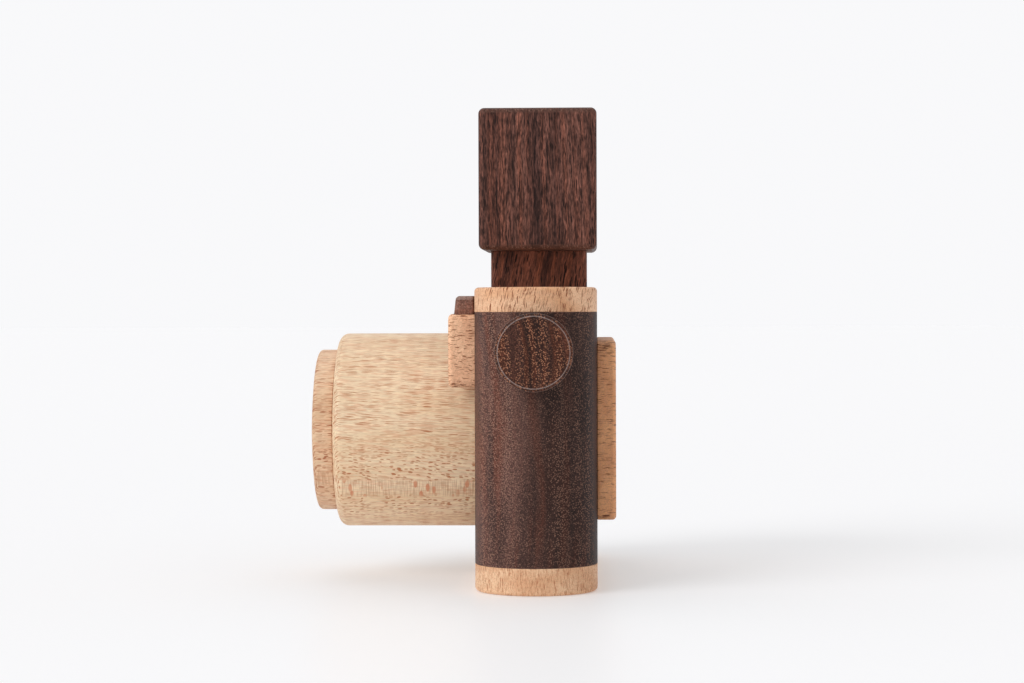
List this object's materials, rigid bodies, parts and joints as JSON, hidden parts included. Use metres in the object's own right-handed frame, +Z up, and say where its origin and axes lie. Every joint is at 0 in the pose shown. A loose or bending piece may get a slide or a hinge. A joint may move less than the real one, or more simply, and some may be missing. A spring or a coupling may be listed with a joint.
{
  "type": "wooden toy camera",
  "caption": "Wooden toy camera with a walnut body between beech plates, a turning beech lens, a press-down shutter key, strap pegs and a swivel flash block.",
  "frame": {"origin": "centre of the base plate's underside", "axes": "+Z up, -Y the way the lens points, +X towards the end with the shutter key"},
  "size_m": [0.17, 0.1035, 0.1598],
  "materials": {
    "beech_plates": "oiled beech, satin",
    "beech_lens": "turned beech, satin",
    "beech_block": "sawn and sanded beech, satin",
    "beech_dowel": "plain beech dowel",
    "walnut_body": "oiled walnut, satin",
    "walnut_flash": "oiled walnut, satin",
    "walnut_trim": "oiled walnut, satin",
    "walnut_peg": "turned walnut, end grain, satin",
    "steel": "plain steel"
  },
  "bodies": {
    "camera": {"bottom_plate": "beech_plates", "body_block": "walnut_body", "top_plate": "beech_plates", "plate_dowels": "beech_dowel", "rear_panel": "beech_block", "rear_screen": "walnut_trim", "viewfinder_tube": "beech_lens", "strap_peg_left": "walnut_peg", "strap_peg_right": "walnut_peg", "button_block": "beech_block", "block_dowels": "beech_dowel", "button_pin": "steel", "button_spring": "steel", "lens_pivot": "beech_dowel", "lens_screw": "steel", "lens_washer": "steel"},
    "key": {"shutter_button": "walnut_trim"},
    "barrel": {"lens_barrel": "beech_lens", "ring_pin": "beech_dowel"},
    "ring": {"focus_ring": "beech_lens", "lens_disc": "walnut_trim"},
    "flash_pivot": {"flash_dowel": "beech_dowel"},
    "flash": {"flash_neck": "walnut_flash", "flash_head": "walnut_flash", "flash_head_dowels": "beech_dowel", "flash_window": "beech_plates"}
  },
  "joints": [
    {"name": "key_press", "type": "slide", "parent": "camera", "child": "key", "axis": [0, 0, -1], "range_m": [0, 0.003], "stiffness_N_per_m": 400, "springref_m": -0.003, "deforming": ["button_spring"]},
    {"name": "barrel_turn", "type": "hinge", "parent": "camera", "child": "barrel", "pos_m": [0, -0.0448, 0.0499], "axis": [0, -1, 0], "continuous": true},
    {"name": "focus_turn", "type": "hinge", "parent": "barrel", "child": "ring", "pos_m": [0, -0.0734, 0.0499], "axis": [0, -1, 0], "continuous": true},
    {"name": "flash_lift", "type": "slide", "parent": "camera", "child": "flash_pivot", "axis": [0, 0, 1], "range_m": [0, 0.016]},
    {"name": "flash_turn", "type": "hinge", "parent": "flash_pivot", "child": "flash", "pos_m": [0, 0, 0.0989], "axis": [0, 0, 1], "continuous": true}
  ]
}
